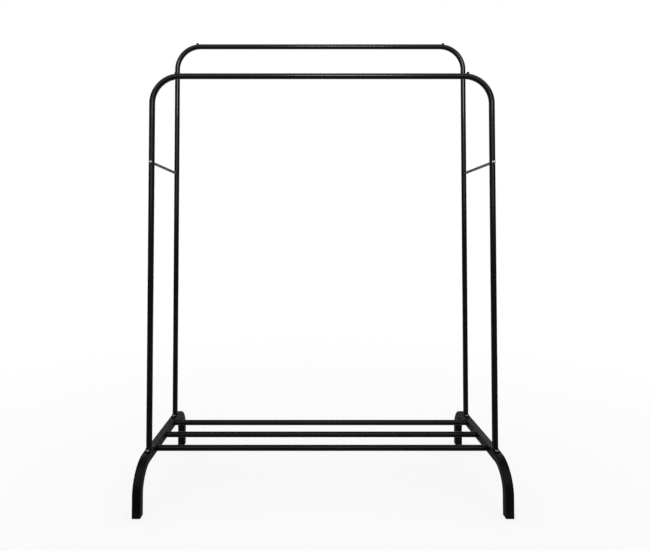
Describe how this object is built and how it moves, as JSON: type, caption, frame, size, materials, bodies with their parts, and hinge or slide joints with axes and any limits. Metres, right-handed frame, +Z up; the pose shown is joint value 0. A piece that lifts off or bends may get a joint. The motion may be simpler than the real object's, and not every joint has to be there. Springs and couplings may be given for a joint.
{
  "type": "clothes rack",
  "caption": "Free-standing clothes rack of bent black steel tube: a tall hanging frame behind a lower one, on base arches joined by an open shelf of rails.",
  "frame": {"origin": "on the floor, under the middle of the rack", "axes": "+X to the right along the hanging bars, +Y to the back, from the lower frame to the taller one, +Z up"},
  "size_m": [1.152, 0.533, 1.6018],
  "materials": {
    "black_paint": "semi-gloss black paint on steel tube",
    "bright_hardware": "bright nickel-chrome plating",
    "plain_steel": "plain zinc-plated steel, hidden inside",
    "black_plastic": "matte moulded black plastic"
  },
  "bodies": {
    "root": {"base_rivet_nuts": "plain_steel", "base_screws": "bright_hardware", "brace_cap_nuts": "bright_hardware", "front_bar_joiner": "plain_steel", "front_frame_left": "black_paint", "front_frame_right": "black_paint", "front_left_base_plate": "black_paint", "front_left_foot_cap": "black_plastic", "front_left_hanger_stop": "black_plastic", "front_right_base_plate": "black_paint", "front_right_foot_cap": "black_plastic", "front_right_hanger_stop": "black_plastic", "front_shelf_rail": "black_paint", "left_base_arch": "black_paint", "left_brace_rod": "black_paint", "middle_shelf_rail": "black_paint", "rail_bolts": "bright_hardware", "rail_end_inserts": "plain_steel", "rear_bar_joiner": "plain_steel", "rear_frame_left": "black_paint", "rear_frame_right": "black_paint", "rear_left_base_plate": "black_paint", "rear_left_foot_cap": "black_plastic", "rear_left_hanger_stop": "black_plastic", "rear_right_base_plate": "black_paint", "rear_right_foot_cap": "black_plastic", "rear_right_hanger_stop": "black_plastic", "rear_shelf_rail": "black_paint", "right_base_arch": "black_paint", "right_brace_rod": "black_paint"}
  },
  "joints": []
}
